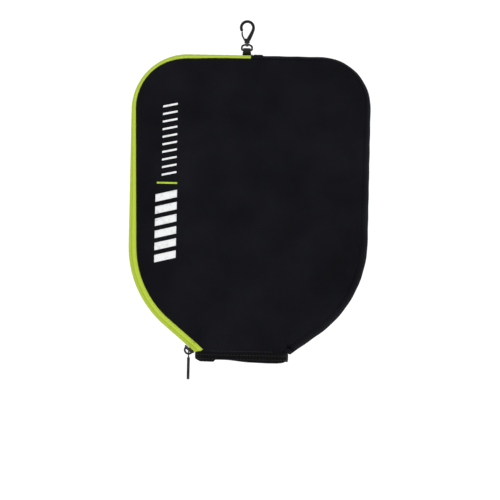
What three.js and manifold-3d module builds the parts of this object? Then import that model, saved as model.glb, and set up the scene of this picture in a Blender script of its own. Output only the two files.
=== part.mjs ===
// A soft neoprene case for a pickleball paddle, hanging by its swivel snap hook.
// Millimetres, +Z up, front towards -Y. The origin is the inner top of the hook, where the case hangs.
// The case is drawn in a frame of its own, on the centreline of the case and level with its middle.
import * as THREE from "three";
import { mergeVertices } from "three/addons/utils/BufferGeometryUtils.js";
import Module from "manifold-3d";

const wasm = await Module();
wasm.setup();

const GAP = 0.3; // between pieces that touch or are sewn together

// ---------------------------------------------------------------- driving dimensions

const hook = {
  boreRadius: 4.6, // inside the round head
  stockRadius: 1.3,
  neckRadius: 1.9,
  noseRadius: 1.35,
  baseTop: -15.4,
  baseBottom: -19.6,
};

const caseBody = {
  axisFromHook: 5.2, // the case's centreline lies this far right of the hook
  topBelowHook: 31.5,
  halfWidth: 114.6,
  top: 148,
  cornerZip: 54, // corner radius on the zip side
  cornerGusset: 48.4,
  seamHalfDepth: 11, // the side walls meet the panels here, front and back
  wallThickness: 1.8,
  panelThickness: 2.8,
  panelHalfDepth: 12.2,
  panelEdgeHalfDepth: 11.2,
};

// Each shoulder is an arc that starts level on the side and runs down to a straight diagonal.
const shoulder = {
  zip: { radius: 98.84, startZ: -36.2, sweep: 50.03 },
  gusset: { radius: 111.7, startZ: -28.4, sweep: 53.8 },
};

const neck = {
  centreX: -3.1,
  halfWidth: 42.3,
  halfDepth: 20.4,
  roundness: 4, // exponent of the superellipse that the hem follows
  hemTop: -137.4,
  hemBottom: -145.2,
  hemThickness: 3.2,
  flareTop: -66,
  flareReach: 40, // from the neck's centre to where the flare has died away
};

const foldX = -1.25; // the front panel folds here, from the zip's top end to the neck
const zipEnd = 41.2; // length of the straight diagonal, up to the end of the zip tape
const gussetEnd = 32.5; // length of the other diagonal, up to the end of the gusset
const slider = { fromEnd: 7.4, length: 11, halfWidth: 4.5, bailInner: 2.9, bailWire: 1.4, plateTop: 2.1 };

// ---------------------------------------------------------------- helpers

const rad = THREE.MathUtils.degToRad;
const mix = THREE.MathUtils.lerp;
const smooth = (x, from, to) => THREE.MathUtils.smoothstep(x, from, to);

const root = new THREE.Group();
const caseGroup = new THREE.Group();
caseGroup.position.set(caseBody.axisFromHook, 0, -caseBody.topBelowHook - caseBody.top);
root.add(caseGroup);

const looks = {
  neoprene: { color: 0x17181b, roughness: 0.9, metalness: 0 },
  binding: { color: 0x141417, roughness: 0.85, metalness: 0 },
  lime: { color: 0xb4cf33, roughness: 0.75, metalness: 0 },
  coil: { color: 0xa6c22c, roughness: 0.5, metalness: 0 },
  blackMetal: { color: 0x1b1b1d, roughness: 0.45, metalness: 0.7 },
  webbing: { color: 0x222226, roughness: 0.85, metalness: 0 },
  thread: { color: 0x0e0e10, roughness: 0.8, metalness: 0 },
  whiteInk: { color: 0xe8e9ea, roughness: 0.6, metalness: 0 },
};

function addPiece(parent, name, geometry, look) {
  const mesh = new THREE.Mesh(geometry, new THREE.MeshStandardMaterial(looks[look]));
  mesh.name = name;
  parent.add(mesh);
  return mesh;
}

// A closed solid through sections. Every section is a ring of the same even number of points, whose second
// half runs back beside the first, so that an end is capped by a strip between the two halves.
function loft(sections, closed = false) {
  const count = sections[0].length;
  const faces = [];
  const spans = closed ? sections.length : sections.length - 1;
  for (let i = 0; i < spans; i++) {
    const here = i * count;
    const next = ((i + 1) % sections.length) * count;
    for (let j = 0; j < count; j++) {
      const k = (j + 1) % count;
      faces.push(here + j, here + k, next + k, here + j, next + k, next + j);
    }
  }
  const last = (sections.length - 1) * count;
  for (let j = 0; !closed && j < count / 2 - 1; j++) {
    const [a, b, c, d] = [j, j + 1, count - 2 - j, count - 1 - j];
    faces.push(a, c, b, a, d, c);
    faces.push(last + a, last + b, last + c, last + a, last + c, last + d);
  }
  const geometry = new THREE.BufferGeometry().setFromPoints(sections.flat());
  geometry.setIndex(faces);
  return geometry;
}

function solidOf(geometry) {
  const bare = geometry.clone();
  bare.deleteAttribute("normal");
  bare.deleteAttribute("uv");
  const merged = mergeVertices(bare, 1e-4);
  const vertProperties = merged.attributes.position.array;
  const triVerts = new Uint32Array(merged.index.array);
  return new wasm.Manifold(new wasm.Mesh({ numProp: 3, vertProperties, triVerts }));
}

function geometryOf(solid) {
  const mesh = solid.getMesh();
  const geometry = new THREE.BufferGeometry();
  geometry.setAttribute("position", new THREE.BufferAttribute(mesh.vertProperties, 3));
  geometry.setIndex(new THREE.BufferAttribute(mesh.triVerts, 1));
  geometry.computeVertexNormals();
  return geometry;
}

const join = (...geometries) =>
  geometryOf(geometries.map(solidOf).reduce((whole, solid) => whole.add(solid)));
const cut = (geometry, ...tools) =>
  geometryOf(tools.map(solidOf).reduce((whole, solid) => whole.subtract(solid), solidOf(geometry)));

const boxBetween = (low, high) =>
  new THREE.BoxGeometry(high[0] - low[0], high[1] - low[1], high[2] - low[2]).translate(
    (low[0] + high[0]) / 2,
    (low[1] + high[1]) / 2,
    (low[2] + high[2]) / 2,
  );

// A cylinder along Y, the direction of every small pin here.
const pinAlongY = (radius, halfLength, x, z, sides = 16) =>
  new THREE.CylinderGeometry(radius, radius, 2 * halfLength, sides).translate(x, 0, z);

// A turned piece about the vertical: the profile lists [radius, z] anticlockwise, with the axis on its left.
const turned = (profile, sides = 20) =>
  new THREE.LatheGeometry(
    profile.map(([r, z]) => new THREE.Vector2(r, z)),
    sides,
  ).rotateX(Math.PI / 2);

// Round stock in the XZ plane along a curve, with a radius for each place t on it.
function roundStock(curve, steps, radiusAt, sides = 8, closed = false) {
  const sections = [];
  const last = closed ? steps - 1 : steps;
  for (let i = 0; i <= last; i++) {
    const t = i / steps;
    const centre = curve.getPointAt(t);
    const along = curve.getTangentAt(t);
    const across = new THREE.Vector3(-along.y, 0, along.x);
    const ring = [];
    for (let k = 0; k < sides; k++) {
      const angle = (2 * Math.PI * k) / sides;
      const u = radiusAt(t) * Math.cos(angle);
      const v = radiusAt(t) * Math.sin(angle);
      ring.push(new THREE.Vector3(centre.x, -v, centre.y).addScaledVector(across, u));
    }
    sections.push(ring);
  }
  return loft(sections, closed);
}

function pathOf(...curves) {
  const path = new THREE.CurvePath();
  curves.forEach((curve) => path.add(curve));
  return path;
}

const v2 = (x, z) => new THREE.Vector2(x, z);

// ---------------------------------------------------------------- snap hook

const headRadius = hook.boreRadius + hook.stockRadius;
const headZ = -hook.boreRadius;
const noseAngle = 203;
const legAngle = -17; // where the straight leg leaves the round head

const pivot = {
  x: -2.5,
  z: -16.2,
  pinRadius: 0.42,
  pinPlay: 0.08,
  knuckle: 0.95, // half the width of the gate's knuckle, between the ears
  earRadius: 1,
  earIn: 1.15,
  earOut: 1.85,
};

function hookFrame() {
  const legTop = v2(headRadius * Math.cos(rad(legAngle)), headZ + headRadius * Math.sin(rad(legAngle)));
  const legDown = v2(Math.sin(rad(legAngle)), -Math.cos(rad(legAngle)));
  const leg = new THREE.CubicBezierCurve(
    v2(1.2, hook.baseTop - 1),
    v2(2.4, -13.6),
    legTop.clone().addScaledVector(legDown, 4),
    legTop,
  );
  const head = new THREE.EllipseCurve(0, headZ, headRadius, headRadius, rad(legAngle), rad(noseAngle));
  const stock = roundStock(pathOf(leg, head), 30, (t) =>
    mix(hook.neckRadius, hook.stockRadius, smooth(t, 0, 0.35)),
  );
  const nose = new THREE.SphereGeometry(hook.noseRadius, 12, 8).translate(
    headRadius * Math.cos(rad(noseAngle)),
    0,
    headZ + headRadius * Math.sin(rad(noseAngle)),
  );
  // The swivel's base is bored from below, wider inside, so that the rivet's head turns in it.
  const base = turned([
    [1.05, hook.baseBottom],
    [2.3, hook.baseBottom],
    [2.6, hook.baseBottom + 0.5],
    [2.6, -17],
    [2, hook.baseTop],
    [0, hook.baseTop],
    [0, -16.6],
    [1.75, -16.9],
    [1.75, -18.6],
    [1.05, -18.6],
    [1.05, hook.baseBottom],
  ]);
  const ears = [-1, 1].map((side) => {
    const near = side * pivot.earIn;
    const far = side * pivot.earOut;
    const plate = boxBetween(
      [pivot.x, Math.min(near, far), pivot.z - pivot.earRadius],
      [-0.4, Math.max(near, far), pivot.z + pivot.earRadius],
    );
    const disc = new THREE.CylinderGeometry(
      pivot.earRadius,
      pivot.earRadius,
      pivot.earOut - pivot.earIn,
      16,
    ).translate(pivot.x, (near + far) / 2, pivot.z);
    return join(plate, disc);
  });
  const slotHalf = pivot.knuckle + 0.2;
  const slot = boxBetween(
    [-4, -slotHalf, pivot.z - 1.3],
    [pivot.x + 1.3, slotHalf, pivot.z + 2.6],
  );
  const pinHole = pinAlongY(pivot.pinRadius + pivot.pinPlay, 3, pivot.x, pivot.z);
  const body = join(cut(join(stock, base), slot), nose, ...ears);
  return cut(body, pinHole);
}

function hookGate() {
  const wireRadius = 0.65;
  const wire = roundStock(
    new THREE.CatmullRomCurve3([
      new THREE.Vector3(pivot.x - 0.2, pivot.z + 0.5, 0),
      new THREE.Vector3(-4.4, -13.2, 0),
      new THREE.Vector3(-5, -10.9, 0),
      new THREE.Vector3(-4.75, -9.05, 0),
    ]),
    10,
    () => wireRadius,
  );
  const knuckle = pinAlongY(1, pivot.knuckle, pivot.x, pivot.z);
  const bore = pinAlongY(pivot.pinRadius + pivot.pinPlay, 3, pivot.x, pivot.z);
  return cut(join(wire, knuckle), bore);
}

addPiece(root, "hook_frame", hookFrame(), "blackMetal");
addPiece(root, "hook_gate", hookGate(), "blackMetal");
addPiece(root, "gate_pin", pinAlongY(pivot.pinRadius, pivot.earOut, pivot.x, pivot.z), "blackMetal");

// ---------------------------------------------------------------- swivel eye and rivet

const eye = {
  halfWidth: 4.9,
  barZ: -26.25,
  crownZ: -23.4, // where the sides turn into the crown
  crownTop: -20.9,
  wireRadius: 0.8,
  cornerRadius: 1,
  bossRadius: 2.1,
  bossHole: 1.1,
  bossTop: -19.95,
  bossBottom: -21.4,
};

function swivelEye() {
  const { halfWidth, barZ, crownZ, cornerRadius } = eye;
  const cornerX = halfWidth - cornerRadius;
  const cornerZ = barZ + cornerRadius;
  const corner = (x, fromAngle, toAngle) =>
    new THREE.EllipseCurve(x, cornerZ, cornerRadius, cornerRadius, rad(fromAngle), rad(toAngle));
  const ring = pathOf(
    new THREE.LineCurve(v2(-cornerX, barZ), v2(cornerX, barZ)),
    corner(cornerX, 270, 360),
    new THREE.LineCurve(v2(halfWidth, cornerZ), v2(halfWidth, crownZ)),
    new THREE.EllipseCurve(0, crownZ, halfWidth, eye.crownTop - crownZ, 0, Math.PI),
    new THREE.LineCurve(v2(-halfWidth, crownZ), v2(-halfWidth, cornerZ)),
    corner(-cornerX, 180, 270),
  );
  const wire = roundStock(ring, 40, () => eye.wireRadius, 8, true);
  const upright = (radius, height, z) =>
    new THREE.CylinderGeometry(radius, radius, height, 16).rotateX(Math.PI / 2).translate(0, 0, z);
  const boss = upright(eye.bossRadius, eye.bossTop - eye.bossBottom, (eye.bossTop + eye.bossBottom) / 2);
  return cut(join(wire, boss), upright(eye.bossHole, 6, eye.bossBottom));
}

addPiece(root, "swivel_eye", swivelEye(), "blackMetal");
addPiece(
  root,
  "swivel_rivet",
  turned([
    [0, -22.8],
    [1.4, -22.6],
    [1.6, -22.1],
    [0.8, -22.1],
    [0.8, -18.3],
    [1.45, -18.3],
    [1.45, -17.3],
    [0, -17.3],
  ]),
  "blackMetal",
);

// ---------------------------------------------------------------- outline of the case

// One side of the outline, from the top centre down to the neck, as stations with an outward normal.
// The diagonal is straight, and its last stretch is where the two zip tapes part in the slider's mouth.
function outlineSide(sign, startX, cornerRadius, arc, diagonal) {
  const { halfWidth, top } = caseBody;
  const cornerX = sign * (halfWidth - cornerRadius);
  const cornerZ = top - cornerRadius;
  const arcX = sign * (halfWidth - arc.radius);
  const down = rad(arc.sweep);
  const tangent = v2(arcX + sign * arc.radius * Math.cos(down), arc.startZ - arc.radius * Math.sin(down));
  const along = v2(-sign * Math.sin(down), -Math.cos(down));
  const onDiagonal = (length) => tangent.clone().addScaledVector(along, length);
  const left = sign < 0;
  const arcBetween = (x, z, radius, fromAngle, toAngle) =>
    new THREE.EllipseCurve(x, z, radius, radius, rad(fromAngle), rad(toAngle), !left);
  const pieces = [
    [new THREE.LineCurve(v2(startX, top), v2(cornerX, top)), 3],
    [arcBetween(cornerX, cornerZ, cornerRadius, 90, left ? 180 : 0), 8],
    [new THREE.LineCurve(v2(sign * halfWidth, cornerZ), v2(sign * halfWidth, arc.startZ)), 3],
    [arcBetween(arcX, arc.startZ, arc.radius, left ? 180 : 0, left ? 180 + arc.sweep : -arc.sweep), 7],
    [new THREE.LineCurve(onDiagonal(0), onDiagonal(diagonal - 9)), 3],
    [new THREE.LineCurve(onDiagonal(diagonal - 9), onDiagonal(diagonal - 6)), 1],
    [new THREE.LineCurve(onDiagonal(diagonal - 6), onDiagonal(diagonal)), 2],
  ];
  const stations = [];
  pieces.forEach(([curve, steps], index) => {
    for (let i = index ? 1 : 0; i <= steps; i++) {
      const at = curve.getPoint(i / steps);
      const tangentHere = curve.getTangent(i / steps);
      const normal = v2(-sign * tangentHere.y, sign * tangentHere.x);
      stations.push({ at, normal, onTop: index === 0 });
    }
  });
  stations.forEach((station) => {
    station.inset = seamInset(sign, station.at.y);
    station.toEnd = station.at.distanceTo(onDiagonal(diagonal));
  });
  return { stations, onDiagonal, along, outward: v2(sign * Math.cos(down), -Math.sin(down)) };
}

// How far inside the outline the wall is sewn to the panels, which is the wall's width seen from the front.
function seamInset(sign, z) {
  const level = (from, to) => THREE.MathUtils.clamp((from - z) / (from - to), 0, 1);
  if (sign < 0) return 3.2 + 4.8 * level(caseBody.top, -40);
  return 3.6 + 1.9 * level(caseBody.top, 103) + 2 * level(100, -40);
}

const zipSide = outlineSide(-1, foldX - GAP, caseBody.cornerZip, shoulder.zip, zipEnd);
const gussetSide = outlineSide(1, foldX + GAP, caseBody.cornerGusset, shoulder.gusset, gussetEnd);

// ---------------------------------------------------------------- side walls: gusset, zip tapes, coils

// A point of the wall's outer face: angle 0 on the outline, 90 degrees at the seam with a panel.
function wallPoint(inset, middle, angle, depth) {
  const reach = caseBody.seamHalfDepth - middle;
  const outer = v2(inset * (1 - Math.cos(angle)), middle + reach * Math.sin(angle));
  const inward = v2(reach * Math.cos(angle), -inset * Math.sin(angle)).normalize();
  return outer.addScaledVector(inward, depth);
}

// Places a section, drawn as [inset, y], on a station of the outline.
function placeSection(station, section) {
  return section.map(
    ({ x: inset, y }) =>
      new THREE.Vector3(station.at.x - station.normal.x * inset, y, station.at.y - station.normal.y * inset),
  );
}

// A band around one side of the case, whose section is the given function of the station.
function band(side, sectionAt, clockwise) {
  const sections = side.stations.map((station) => {
    const section = sectionAt(station);
    return placeSection(station, clockwise ? section.reverse() : section);
  });
  return loft(sections);
}

const WALL_STEPS = 5;

// Half of the wall, between the coil and the front (sign -1) or back (sign 1) panel.
function tapeSection(station, sign, middle) {
  const outer = [];
  const inner = [];
  for (let i = 0; i <= WALL_STEPS; i++) {
    const angle = (i / WALL_STEPS) * (Math.PI / 2);
    outer.push(wallPoint(station.inset, middle, angle, 0));
    inner.push(wallPoint(station.inset, middle, angle, caseBody.wallThickness));
  }
  const section = [...outer, ...inner.reverse()];
  return section.map(({ x, y }) => v2(x, sign * y));
}

function gussetSection(station) {
  const outer = [];
  const inner = [];
  for (let i = -WALL_STEPS; i <= WALL_STEPS; i++) {
    const angle = (Math.abs(i) / WALL_STEPS) * (Math.PI / 2);
    const sign = Math.sign(i);
    const face = wallPoint(station.inset, 0, angle, 0);
    const back = wallPoint(station.inset, 0, angle, caseBody.wallThickness);
    outer.push(v2(face.x, sign * face.y));
    inner.push(v2(back.x, sign * back.y));
  }
  return [...outer, ...inner.reverse()];
}

const coil = { near: 0.25, far: 1.6, proud: 0.1, deep: 2.1 };

// The front tape and coil part from the back ones in the slider's mouth, around its wedge.
const wedgeGap = 1.7;
const parting = (station) => wedgeGap * (1 - smooth(station.toEnd, 6, 9));

function coilSection(sign, shift) {
  const near = sign * (coil.near + shift);
  const far = sign * (coil.far + shift);
  return [v2(coil.proud, near), v2(coil.proud, far), v2(coil.deep, far), v2(coil.deep, near)];
}

const tapeMiddle = coil.far + GAP;
const frontTapeSection = (station) => tapeSection(station, -1, tapeMiddle + parting(station));
const backTapeSection = (station) => tapeSection(station, 1, tapeMiddle);
addPiece(caseGroup, "zip_tape_front", band(zipSide, frontTapeSection, true), "lime");
addPiece(caseGroup, "zip_tape_back", band(zipSide, backTapeSection, false), "lime");

// The coils stop a little before the tapes, where the end stops are.
const coilShort = 1.8;
const lastOfCoil = { at: zipSide.onDiagonal(zipEnd - coilShort), toEnd: coilShort };
const coilSide = {
  stations: [...zipSide.stations.slice(0, -1), { ...zipSide.stations.at(-1), ...lastOfCoil }],
};
const frontCoilSection = (station) => coilSection(-1, parting(station));
addPiece(caseGroup, "zip_coil_front", band(coilSide, frontCoilSection, true), "coil");
addPiece(caseGroup, "zip_coil_back", band(coilSide, () => coilSection(1, 0), false), "coil");

addPiece(caseGroup, "side_gusset", band(gussetSide, gussetSection, true), "neoprene");

const { top } = caseBody;
const startStop = boxBetween([-0.9, -1.6, top + GAP], [0.6, 1.6, top + 1.1]);
const endFold = boxBetween([1, -8.6, top + GAP], [10, 8.6, top + 1.3]);
addPiece(caseGroup, "zip_start_stop", startStop, "blackMetal");
addPiece(caseGroup, "gusset_end_fold", endFold, "neoprene");

// ---------------------------------------------------------------- panels

const toGusset = gussetSide.stations.filter((station) => !station.onTop);
const toZip = zipSide.stations.filter((station) => !station.onTop);
const cornerOf = (stations, all) => all[all.indexOf(stations[0]) - 1];
const seamGap = 0.45;
const seamPoint = ({ at, normal, inset }) => at.clone().addScaledVector(normal, -(inset + seamGap));

// Rows of the panels, from the top edge down to the hem, as a left and a right end.
const rows = [
  [cornerOf(toZip, zipSide.stations), cornerOf(toGusset, gussetSide.stations)],
  ...toZip.map((station, i) => [station, toGusset[i]]),
].map(([zip, gusset]) => ({ left: seamPoint(zip), right: seamPoint(gusset) }));
const panelBottom = neck.hemTop + GAP;
const hemReach = neck.halfWidth - 1.8;
rows.push({
  left: v2(neck.centreX - hemReach, panelBottom),
  right: v2(neck.centreX + hemReach, panelBottom),
});

// Half the depth of the case at a place on a panel: thin at the seams, flared round the neck.
function panelDepth(x, z, fromSeam) {
  const { panelHalfDepth, panelEdgeHalfDepth } = caseBody;
  const body = mix(panelEdgeHalfDepth, panelHalfDepth, smooth(fromSeam, 0, 12));
  const beside = Math.min(1, Math.abs(x - neck.centreX) / neck.flareReach);
  const down = 1 - smooth(z, panelBottom, neck.flareTop);
  const flared = body + (neck.halfDepth - panelHalfDepth) * down * (1 - beside ** neck.roundness);
  // Just above the hem, the panel's ends draw in to the hem's own curve.
  const alongHem = Math.min(1, Math.abs(x - neck.centreX) / neck.halfWidth);
  const hemDepth = neck.halfDepth * (1 - alongHem ** neck.roundness) ** (1 / neck.roundness);
  return z < panelBottom + 1 ? Math.min(flared, hemDepth) : flared;
}

// A panel between two places across every row (0 at the zip side's seam, 1 at the gusset's), in even columns
// with a narrow one along each seam.
function panel(sign, across, seamLeft, seamRight) {
  const columns = 7;
  const fractions = [0];
  if (seamLeft) fractions.push(0.05, 0.12);
  for (let i = 2; i < columns; i++) fractions.push(i / columns);
  if (seamRight) fractions.push(0.88, 0.95);
  fractions.push(1);
  const topEdge = rows[0].left.y;
  const sections = rows.map((row) => {
    const [fromX, toX] = across(row);
    const outer = [];
    const inner = [];
    for (const fraction of fractions) {
      const x = mix(fromX, toX, fraction);
      const z = mix(row.left.y, row.right.y, (x - row.left.x) / (row.right.x - row.left.x));
      const fromSeam = Math.min(x - row.left.x, row.right.x - x, topEdge - z);
      const depth = panelDepth(x, z, fromSeam);
      outer.push(new THREE.Vector3(x, sign * depth, z));
      inner.push(new THREE.Vector3(x, sign * (depth - caseBody.panelThickness), z));
    }
    const ring = [...outer, ...inner.reverse()];
    return sign < 0 ? ring : ring.reverse();
  });
  return loft(sections.reverse());
}

addPiece(
  caseGroup,
  "front_panel_flap",
  panel(-1, (row) => [row.left.x, foldX - GAP], true, false),
  "neoprene",
);
addPiece(
  caseGroup,
  "front_panel_fixed",
  panel(-1, (row) => [foldX + GAP, row.right.x], false, true),
  "neoprene",
);
addPiece(caseGroup, "back_panel", panel(1, (row) => [row.left.x, row.right.x], true, true), "neoprene");

// ---------------------------------------------------------------- hem of the neck

// The hem runs round the neck on a superellipse. Angle 0 is its gusset end, 180 degrees its zip end.
function hemPoint(angle, inset) {
  const power = 2 / neck.roundness;
  const c = Math.cos(angle);
  const s = Math.sin(angle);
  const x = Math.sign(c) * (neck.halfWidth - inset) * Math.abs(c) ** power;
  const y = -Math.sign(s) * (neck.halfDepth - inset) * Math.abs(s) ** power;
  return v2(neck.centreX + x, y);
}

// The hem between two angles: a band as high as the fold, lower at both ends of the neck.
function hem(fromAngle, toAngle, steps) {
  const sections = [];
  for (let i = 0; i <= steps; i++) {
    const angle = mix(fromAngle, toAngle, i / steps);
    const outer = hemPoint(angle, 0);
    const inner = hemPoint(angle, neck.hemThickness);
    const beside = Math.abs(outer.x - neck.centreX);
    const upper = neck.hemTop - 2.4 * smooth(beside, 31, 40);
    sections.push([
      new THREE.Vector3(outer.x, outer.y, upper),
      new THREE.Vector3(inner.x, inner.y, upper),
      new THREE.Vector3(inner.x, inner.y, neck.hemBottom),
      new THREE.Vector3(outer.x, outer.y, neck.hemBottom),
    ]);
  }
  return loft(sections);
}

// The angle at which the hem's front reaches a given x.
function hemAngle(x) {
  const share = (x - neck.centreX) / neck.halfWidth;
  return Math.acos(Math.sign(share) * Math.abs(share) ** (neck.roundness / 2));
}
const hemEnd = rad(1.2);
addPiece(caseGroup, "hem_front_fixed", hem(hemEnd, hemAngle(foldX + GAP), 9), "binding");
addPiece(caseGroup, "hem_front_flap", hem(hemAngle(foldX - GAP), Math.PI - hemEnd, 9), "binding");
addPiece(caseGroup, "hem_back", hem(Math.PI + hemEnd, 2 * Math.PI - hemEnd, 18), "binding");

// The folded ends of the binding stand out past the hem as small upright lobes.
const lobe = { radius: 1.3, straight: 3.2, aboveHem: 2.6, apart: 1.6 };
function hemLobe(side, y) {
  const x = neck.centreX + side * (neck.halfWidth + lobe.radius + GAP);
  return new THREE.CapsuleGeometry(lobe.radius, lobe.straight, 3, 10)
    .rotateX(Math.PI / 2)
    .translate(x, y, neck.hemBottom + lobe.aboveHem);
}
addPiece(caseGroup, "hem_lobe_front", hemLobe(-1, -lobe.apart), "binding");
addPiece(caseGroup, "hem_lobe_back", hemLobe(-1, lobe.apart), "binding");
addPiece(caseGroup, "hem_lobe_gusset", hemLobe(1, 0), "binding");

// ---------------------------------------------------------------- webbing loop

const hookAxisX = -caseBody.axisFromHook;
const barZ = caseBody.topBelowHook + caseBody.top + eye.barZ;
const strapFoot = top + GAP + 0.1;
const webbing = { halfWidth: 3.8, loopRadius: 2.25, holeRadius: 1.05, tail: 9.4, thickness: 1.2 };

function webbingLoop() {
  const { loopRadius, holeRadius, tail, thickness, halfWidth } = webbing;
  const outline = new THREE.Shape();
  outline.moveTo(0.4, strapFoot);
  outline.lineTo(tail, strapFoot);
  outline.lineTo(tail, strapFoot + thickness);
  outline.lineTo(3, strapFoot + thickness + 0.4);
  outline.absarc(0, barZ, loopRadius, rad(-20), rad(205), false);
  outline.lineTo(0.4, strapFoot);
  const hole = new THREE.Path();
  hole.absarc(0, barZ, holeRadius, 0, 2 * Math.PI, true);
  outline.holes.push(hole);
  const options = { depth: 2 * halfWidth, bevelEnabled: false, curveSegments: 8 };
  const geometry = new THREE.ExtrudeGeometry(outline, options);
  // The outline was drawn as (y, z): turn it so that it is extruded along X.
  const turn = new THREE.Matrix4().makeBasis(
    new THREE.Vector3(0, 1, 0),
    new THREE.Vector3(0, 0, 1),
    new THREE.Vector3(1, 0, 0),
  );
  return geometry.applyMatrix4(turn).translate(hookAxisX - halfWidth, 0, 0);
}

addPiece(caseGroup, "webbing_loop", webbingLoop(), "webbing");
const tackZ = strapFoot + webbing.thickness + GAP;
addPiece(
  caseGroup,
  "webbing_bartack",
  boxBetween([hookAxisX - 3, 6, tackZ], [hookAxisX + 3, 7.4, tackZ + 0.5]),
  "thread",
);

// ---------------------------------------------------------------- zip slider, bail, puller, end stops

// The slider's frame: +X up the zip, +Z out of the case.
const sliderGroup = new THREE.Group();
const sliderAt = zipSide.onDiagonal(zipEnd - slider.fromEnd);
sliderGroup.position.set(sliderAt.x, 0, sliderAt.y);
const upTrack = new THREE.Vector3(-zipSide.along.x, 0, -zipSide.along.y);
const outOfCase = new THREE.Vector3(zipSide.outward.x, 0, zipSide.outward.y);
sliderGroup.quaternion.setFromRotationMatrix(
  new THREE.Matrix4().makeBasis(upTrack, new THREE.Vector3(0, 1, 0), outOfCase),
);
caseGroup.add(sliderGroup);

// A plate of the slider: wide at the mouth, where the tapes part, and narrow behind.
function sliderPlate(fromHeight, toHeight) {
  const half = slider.length / 2;
  const wide = slider.halfWidth;
  const plate = new THREE.Shape();
  plate.moveTo(-half, -wide + 1.4);
  plate.quadraticCurveTo(-half, -wide, -half + 1.4, -wide);
  plate.lineTo(-0.5, -wide);
  plate.lineTo(half, -wide + 1.2);
  plate.lineTo(half, wide - 1.2);
  plate.lineTo(-0.5, wide);
  plate.lineTo(-half + 1.4, wide);
  plate.quadraticCurveTo(-half, wide, -half, wide - 1.4);
  const options = { depth: toHeight - fromHeight, bevelEnabled: false, curveSegments: 3 };
  return new THREE.ExtrudeGeometry(plate, options).translate(0, 0, fromHeight);
}

function sliderBody() {
  const outerPlate = sliderPlate(0.7, slider.plateTop);
  const innerPlate = sliderPlate(-3.8, -2.6);
  const wedge = boxBetween([-4.9, -1.5, -3.2], [-1.7, 0.1, 1.4]);
  const outerFlange = boxBetween([-4, 3.6, 0.2], [1, slider.halfWidth - 0.1, 1.4]);
  const innerFlange = boxBetween([-4, 3.6, -3.2], [1, slider.halfWidth - 0.1, -2.4]);
  return join(outerPlate, innerPlate, wedge, outerFlange, innerFlange);
}

function sliderBail() {
  const foot = slider.plateTop + GAP;
  const arch = new THREE.Shape();
  arch.absarc(0, foot, slider.bailInner + slider.bailWire, 0, Math.PI, false);
  arch.lineTo(-slider.bailInner, foot);
  arch.absarc(0, foot, slider.bailInner, Math.PI, 0, true);
  const geometry = new THREE.ExtrudeGeometry(arch, { depth: 2.4, bevelEnabled: false, curveSegments: 12 });
  // Drawn as (x, z) and extruded towards -Y.
  return geometry.rotateX(Math.PI / 2).translate(0, 1.2, 0);
}

addPiece(sliderGroup, "slider_body", sliderBody(), "blackMetal");
addPiece(sliderGroup, "slider_bail", sliderBail(), "blackMetal");

// The puller hangs plumb from its crossbar, which lies in the lowest part of the bail.
const puller = {
  barHalf: 0.6, // half the crossbar's thickness
  barHeight: 0.7,
  frameHalf: 3,
  windowHalf: 1.7,
  windowEnd: 5,
  bodyTop: 5.4,
  halfWidth: 3.6,
  thickness: 2.6,
  reach: 26.5,
};
const bailPlay = 0.15;
const hang = slider.bailInner - Math.hypot(puller.barHalf, puller.barHeight) - bailPlay;
const crossbar = sliderAt
  .clone()
  .addScaledVector(zipSide.outward, slider.plateTop + GAP)
  .add(v2(0, -hang));
const pullerGroup = new THREE.Group();
pullerGroup.position.set(crossbar.x, 0, crossbar.y);
caseGroup.add(pullerGroup);

function pullerPiece() {
  const { barHalf, barHeight, frameHalf, windowHalf, windowEnd } = puller;
  const { bodyTop, halfWidth, thickness, reach } = puller;
  const frame = new THREE.Shape();
  frame.moveTo(-frameHalf, barHeight);
  frame.lineTo(-frameHalf, -bodyTop - 1);
  frame.lineTo(frameHalf, -bodyTop - 1);
  frame.lineTo(frameHalf, barHeight);
  const window = new THREE.Path();
  window.moveTo(-windowHalf, -barHeight);
  window.lineTo(windowHalf, -barHeight);
  window.lineTo(windowHalf, -windowEnd);
  window.lineTo(-windowHalf, -windowEnd);
  frame.holes.push(window);
  const tab = new THREE.Shape();
  tab.moveTo(-frameHalf, -bodyTop);
  tab.lineTo(-halfWidth, -bodyTop - 3);
  tab.lineTo(-halfWidth, -reach + halfWidth);
  tab.absarc(0, -reach + halfWidth, halfWidth, Math.PI, 2 * Math.PI, false);
  tab.lineTo(halfWidth, -bodyTop - 3);
  tab.lineTo(frameHalf, -bodyTop);
  // Drawn as (y, z) and extruded along X, in the middle of the thickness.
  const turn = new THREE.Matrix4().makeBasis(
    new THREE.Vector3(0, 1, 0),
    new THREE.Vector3(0, 0, 1),
    new THREE.Vector3(1, 0, 0),
  );
  const plate = (shape, depth) =>
    new THREE.ExtrudeGeometry(shape, { depth, bevelEnabled: false, curveSegments: 6 })
      .translate(0, 0, -depth / 2)
      .applyMatrix4(turn);
  return join(plate(frame, 2 * barHalf), plate(tab, thickness));
}

addPiece(pullerGroup, "puller", pullerPiece(), "blackMetal");

function endStop(sign, shift) {
  const near = sign * (coil.near + shift);
  const far = sign * (coil.far + shift);
  const length = -slider.fromEnd;
  return boxBetween(
    [length + 0.3, Math.min(near, far), -coil.deep],
    [length + 1.5, Math.max(near, far), -coil.proud + 0.2],
  );
}
addPiece(sliderGroup, "zip_end_stop_front", endStop(-1, wedgeGap), "blackMetal");
addPiece(sliderGroup, "zip_end_stop_back", endStop(1, 0), "blackMetal");

// ---------------------------------------------------------------- printed marks on the folding half

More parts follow.
